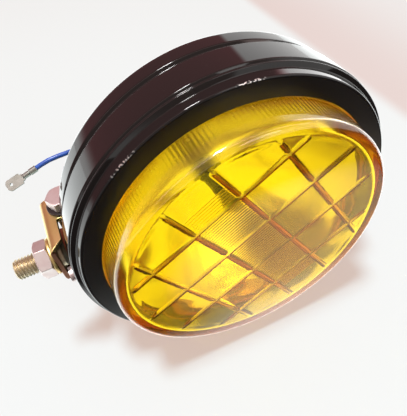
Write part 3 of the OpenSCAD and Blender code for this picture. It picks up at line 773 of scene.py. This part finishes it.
def makeBracket():
    b = bracket
    low, high = [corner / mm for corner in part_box("u_bracket")]
    middle = b["bend"] + b["sheet"] / 2                 # radius of the bend's mid layer
    wall, base = high.x - b["sheet"] / 2, low.z + b["sheet"] / 2
    flatEnd = wall - middle
    bendEnd = flatEnd + middle * math.pi / 2

    def fold(s, y, offset):                             # where the folding takes a point of the strip
        side, reach = math.copysign(1, s), abs(s)
        if reach <= flatEnd:
            return Vector((s, y, base - offset)) * mm
        if reach <= bendEnd:
            a = (reach - flatEnd) / middle
            return Vector((side * (flatEnd + (middle + offset) * math.sin(a)), y,
                           base + middle - (middle + offset) * math.cos(a))) * mm
        return Vector((side * (wall + offset), y, base + middle + reach - bendEnd)) * mm

    def layOut(z):                                      # how far along the strip a height on its side lies
        if z < base + middle:
            return flatEnd + middle * math.acos(1 - (z - base) / middle)
        return bendEnd + z - base - middle

    top, ear = low.z + b["sheet"], layOut(pivotZ)
    wing = layOut(top + b["wingH"])
    half = rounded([(0, b["front"]), (layOut(top - b["corner"]), b["front"], 0.6),
                    (wing, b["front"] + b["wingH"] + b["corner"], 0.8), (wing, b["neckY"], 1.0),
                    (ear, b["neckY"])], 3)[:-1]
    half += arc((ear, pivotY), b["earR"], -90, 90, 24) + [(0, pivotY + b["earR"])]
    outline = half + [(-s, y) for s, y in half[::-1] if s > 0]
    holes = [arc((0, 0), b["studBore"], 0, 360, 40)[:-1]]
    holes += [arc((side * ear, pivotY), b["pinBore"], 0, 360, 36)[:-1] for side in (1, -1)]
    strip = sheetShape([outline] + holes, b["sheet"], fold, b["step"])
    makePiece("uBracket", strip, "bracket", bracketZinc, "u_bracket", crease=40, soften=0.3)


makeBracket()

# the pivot: bolt across the ears, washers, split washer and nut
pivot = dict(across=12, hexTurn=30, shankR=4.0, pitch=1.25, depth=0.7, headEnd=-13.6, headIn=0.5,
             washerR=8.0, washerT=1.6, washerEdges=(0.2, 0.4), bore=4.3, earOut=12.0, washerCount=72,
             splitR=6.6, splitT=2.0, splitGap=1.2, splitSteps=60, nutT=6.5, nutBore=3.9)


def makePivot():
    p = pivot
    splitLow = -p["headEnd"]
    nutLow = splitLow + p["splitT"]
    rings = threadRings(p["shankR"], p["depth"], p["pitch"], boltHigh.x, nutLow, onPivot)
    rings.append(ringOf(p["shankR"], p["headEnd"] - p["headIn"], onPivot, threadForm["count"]))
    head = hexShape(p["across"], boltLow.x, p["headEnd"], onPivot, p["hexTurn"])
    bolt = joined(loft(rings, caps=True), head)
    makePiece("pivotBolt", bolt, "bracket", paleZinc, "pivot_bolt", crease=30)
    nut = hexShape(p["across"], nutLow, nutLow + p["nutT"], onPivot, p["hexTurn"], p["nutBore"])
    makePiece("pivotNut", nut, "bracket", paleZinc, "pivot_nut", crease=25, soften=0.2)
    washers = []
    for low in (p["headEnd"], p["earOut"]):
        washers.append(washerShape(p["bore"], p["washerR"], low, low + p["washerT"], p["washerEdges"],
                                   onPivot, p["washerCount"]))
    makePiece("pivotWashers", joined(*washers), "bracket", blackOxide, "pivot_washers")
    gap = p["splitGap"] / p["splitR"]
    section = [(p["bore"], splitLow), (p["splitR"], splitLow), (p["splitR"], nutLow), (p["bore"], nutLow)]
    turns = [gap / 2 + (tau - gap) * k / p["splitSteps"] for k in range(p["splitSteps"] + 1)]
    split = loft([[onPivot(*polar(r, a), h) for r, h in section] for a in turns], caps=True)
    makePiece("pivotSpringWasher", split, "bracket", paleZinc, "pivot_spring_washer",
              crease=40, soften=0.2)


makePivot()
for name in ("housing_lug", "rim_screws", "rim_nuts", "wire_grommet"):
    softenEdges(cadNodes[name], 0.3)
print("mount and bracket made")

# the wire's end: insulation grip, crimped barrel and flat blade
tab = dict(roll=45, stand=0.1, gripR=1.8, gripIn=1.32, gripL=4.0, seam=16, curlSteps=40,
           barrelR=1.35, barrelEnd=8.6, oval=1.1, dent=0.38, dentW=0.3, barrelCount=48,
           neck=[(-0.6, 0.72), (0.3, 0.74), (0.5, 1.0)],            # from the grip's end, share of barrelR
           mouth=[(-0.9, 1.0), (0, 0.9)],                           # from the barrel's end
           shankHalf=2.0, shankFrom=7.4, shankTaper=(0.6, 1.2), shoulder=9.8, shoulderRun=(-0.4, 0.2),
           half=3.15, end=18.8, corner=1.4, sheet=0.8, holeIn=3.0, holeR=0.85)


def makeTab():
    t = tab
    ahead = (wirePath[-1] - wirePath[-2]).normalized()
    turn = (Matrix.Rotation(math.atan2(ahead.y, ahead.x), 3, "Z")
            @ Matrix.Rotation(math.acos(ahead.z), 3, "Y")
            @ Matrix.Rotation(math.radians(t["roll"]), 3, "Z"))
    start = wirePath[-1] / mm + t["stand"] * ahead

    def onTab(x, y, h):
        return (start + turn @ Vector((x, y, h))) * mm

    steps, first, last = t["curlSteps"], 90 + t["seam"] / 2, 450 - t["seam"] / 2
    curl = arc((0, 0), t["gripR"], first, last, steps) + arc((0, 0), t["gripIn"], last, first, steps)
    points, faces = loft([[onTab(x, y, h) for x, y in curl] for h in (0, t["gripL"] / 2, t["gripL"])])
    for base in (0, 2 * len(curl)):                     # the open curl's two ends
        for j in range(steps):
            faces.append(tuple(base + k for k in (j, j + 1, 2 * steps - j, 2 * steps + 1 - j)))

    rows = [(t["gripL"] + h, size) for h, size in t["neck"]]
    rows += [(t["barrelEnd"] + h, size) for h, size in t["mouth"]]
    rings = []
    for h, size in rows:
        ring = []
        for a in fullTurn(t["barrelCount"]):
            off = math.atan2(math.sin(a - tau / 4), math.cos(a - tau / 4))      # from the middle of the dent
            x, y = polar(size * t["barrelR"] * (1 - t["dent"] * math.exp(-(off / t["dentW"]) ** 2)), a)
            ring.append(onTab(x * t["oval"], y, h))
        rings.append(ring)

    narrow, taper = t["shankTaper"]
    before, after = t["shoulderRun"]
    side = [(t["shankHalf"] * narrow, t["shankFrom"]), (t["shankHalf"], t["shankFrom"] + taper),
            (t["shankHalf"], t["shoulder"] + before), (t["half"], t["shoulder"] + after),
            (t["half"], t["end"] - t["corner"]), (t["half"] - t["corner"], t["end"])]
    outline = side + [(-x, h) for x, h in side[::-1]]
    hole = arc((0, t["end"] - t["holeIn"]), t["holeR"], 0, 360, 24)[:-1]
    blade = sheetShape([outline, hole], t["sheet"], lambda x, h, offset: onTab(x, offset, h))
    shape = joined((points, faces), loft(rings, caps=True), blade)
    return makePiece("spadeTerminal", shape, "lamp", tinPlate, "spade_terminal",
                     crease=40, soften=0.1)


spadeTerminal = makeTab()
print("terminal made")

# the stage: what the floor and the room share
stage = dict(white=rgba(0.97, 0.965, 0.955), throughPower=1.92)


def rayKinds(start):
    path = start.node("ShaderNodeLightPath").socket.node.outputs
    through = start.math("GREATER_THAN", Sock(start.tree, path["Transmission Depth"]), 0.5)
    mirrored = Sock(start.tree, path["Is Glossy Ray"]) * (1 - through)      # reflected off the outside
    seen = Sock(start.tree, path["Is Camera Ray"])
    return seen, mirrored, through


# a pale cloth under the lamp's side; an oval is its middle in y and z and its two half widths
cloth = dict(x=rimR + 0.1, reach=1100, tint=rgba(0.355, 0.43, 0.433), seenTint=rgba(0.212, 0.328, 0.368),
             glow=rgba(1.0, 0.68, 0.555), seenPower=0.575, glowPower=0.37, paintPower=2.1,
             ahead=(-70, -45), dark=rgba(0.02, 0.015, 0.015),
             under=(60, 55, 95, 85), underEdge=(0.6, 1.2), underShare=0.95,
             patch=(-90, 160, 52, 105), patchEdge=(0.4, 1.2), patchPower=1.6, patchTint=rgba(1.0, 0.72, 0.48),
             foldRise=(283, 300), foldFall=(300, 440), foldLeft=0.3, foldShade=rgba(0.155, 0.183, 0.207))


def ovalOn(y, z, oval, edge):
    midY, midZ, halfY, halfZ = [value * mm for value in oval]
    across, along = (y - midY) / halfY, (z - midZ) / halfZ
    return 1 - (across * across + along * along).span(*edge)


def clothFinish():
    c = cloth
    finish = bpy.data.materials.new("paleCloth")
    finish.use_nodes = True
    tree = finish.node_tree
    tree.nodes.clear()
    start = Sock(tree)
    seen, mirrored, through = rayKinds(start)
    _, y, z = start.node("ShaderNodeTexCoord", out=3).parts()
    # close ahead of the lamp the cloth hardly shows in the paint, but a lit patch shows in the lens
    shaded = mirrored * y.spanMm(*c["ahead"], 1.0, 0.0)
    patch = mirrored * ovalOn(y, z, c["patch"], c["patchEdge"])
    under = mirrored * ovalOn(y, z, c["under"], c["underEdge"])         # the cloth in the lamp's own shade
    colour = shaded.mix(seen.mix(c["tint"], c["seenTint"]), c["dark"])
    # painted shade of a shallow fold across the cloth behind the lamp; the cloth itself stays flat
    fold = seen * z.spanMm(*c["foldRise"]) * z.spanMm(*c["foldFall"], 1.0, c["foldLeft"])
    diffuse = start.node("ShaderNodeBsdfDiffuse", None, {"Color": fold.mix(colour, c["foldShade"])})
    inPaint = mirrored * (1 - shaded) * (1 - under * c["underShare"])
    power = (seen * c["seenPower"] + through * (stage["throughPower"] * c["glowPower"])
             + inPaint * c["paintPower"] + patch * c["patchPower"])
    tint = seen.mix(patch.mix(stage["white"], c["patchTint"]), c["glow"])
    glow = start.node("ShaderNodeEmission", None, {"Color": tint, "Strength": power})
    lit = start.node("ShaderNodeAddShader", None, {0: diffuse, 1: glow})
    behind = Sock(tree, start.node("ShaderNodeNewGeometry").socket.node.outputs["Backfacing"])
    clear = start.node("ShaderNodeBsdfTransparent")
    whole = start.node("ShaderNodeMixShader", None, {0: behind, 1: lit, 2: clear})
    start.node("ShaderNodeOutputMaterial", None, {"Surface": whole})
    return finish


def makeFloor():
    x, reach = cloth["x"], cloth["reach"]
    corners = [(x, -reach, -reach), (x, -reach, reach), (x, reach, reach), (x, reach, -reach)]
    mesh = bpy.data.meshes.new("floor")
    mesh.from_pydata([Vector(corner) * mm for corner in corners], [], [(0, 1, 2, 3)])
    mesh.materials.append(clothFinish())
    floor = bpy.data.objects.new("floor", mesh)
    scene.collection.objects.link(floor)
    if mesh.polygons[0].normal.x > 0:
        mesh.flip_normals()


# the room round it, white to the eye; what the paint and the glass show of it goes by direction
room = dict(fill=rgba(1.0, 0.98, 0.97), fillPower=0.45, dim=rgba(0.50, 0.16, 0.18),
            ahead=rgba(0.42, 0.32, 0.30), aheadSpan=(0.0, 0.3), horizon=(-0.06, 0.08), rise=(0.30, 0.55),
            riseBy=0.5, lowPower=0.8,
            darkSide=(-0.50, -0.68, -0.53), darkSpan=(0.77, 0.90), darkShade=rgba(0.07, 0.045, 0.04),
            windowUp=(0.45, 0.55), windowFrom=(-0.38, -0.34), windowTo=(-0.22, -0.18), windowPower=8.5,
            farOut=(0.66, 0.74), farFrom=(0.28, 0.34), farTo=(0.52, 0.58), farPower=5.0)


def makeRoom():
    r = room
    world = bpy.data.worlds.new("room")
    scene.world = world
    world.use_nodes = True
    tree = world.node_tree
    tree.nodes.clear()
    start = Sock(tree)
    seen, mirrored, through = rayKinds(start)
    x, y, z = start.node("ShaderNodeTexCoord", out=0).parts()
    raised = ((0 - x) - z.span(*r["rise"]) * r["riseBy"]).span(*r["horizon"])       # the room above the cloth
    toDark = Vector(r["darkSide"]).normalized()
    dark = (x * toDark.x + y * toDark.y + z * toDark.z).span(*r["darkSpan"])
    window = (0 - x).span(*r["windowUp"]) * y.span(*r["windowFrom"]) * (1 - y.span(*r["windowTo"]))
    far = z.span(*r["farOut"]) * y.span(*r["farFrom"]) * (1 - y.span(*r["farTo"]))      # bright far cloth
    reflected = raised.mix(stage["white"], (0 - y).span(*r["aheadSpan"]).mix(r["dim"], r["ahead"]))
    inside = dark.mix(stage["white"], r["darkShade"])
    colour = mirrored.mix(through.mix(seen.mix(r["fill"], stage["white"]), inside), reflected)
    plain = (1 - mirrored) * (1 - seen) * (1 - through)
    shown = (1 - raised) * r["lowPower"] + window * r["windowPower"] + far * r["farPower"]
    power = 1 - plain * (1 - r["fillPower"]) + mirrored * shown + through * (stage["throughPower"] - 1)
    sky = start.node("ShaderNodeBackground", None, {"Color": colour, "Strength": power})
    start.node("ShaderNodeOutputWorld", None, {"Surface": sky})


# soft lamps, placed from the middle of the rim's face
lamps = [dict(name="overhead", place=(-2000, -45, -190), size=340, watts=51),
         dict(name="front", place=(-420, -520, 260), size=300, watts=1.0)]


def makeLamps():
    target = onLamp(0, 0, 0)
    for lamp in lamps:
        data = bpy.data.lights.new(lamp["name"], "AREA")
        data.shape = "DISK"
        data.size = lamp["size"] * mm
        data.energy = lamp["watts"]
        light = bpy.data.objects.new(lamp["name"], data)
        light.location = Vector(lamp["place"]) * mm + target
        light.rotation_euler = (target - light.location).to_track_quat("-Z", "Y").to_euler()
        scene.collection.objects.link(light)


makeFloor()
makeRoom()
makeLamps()
print("stage set")
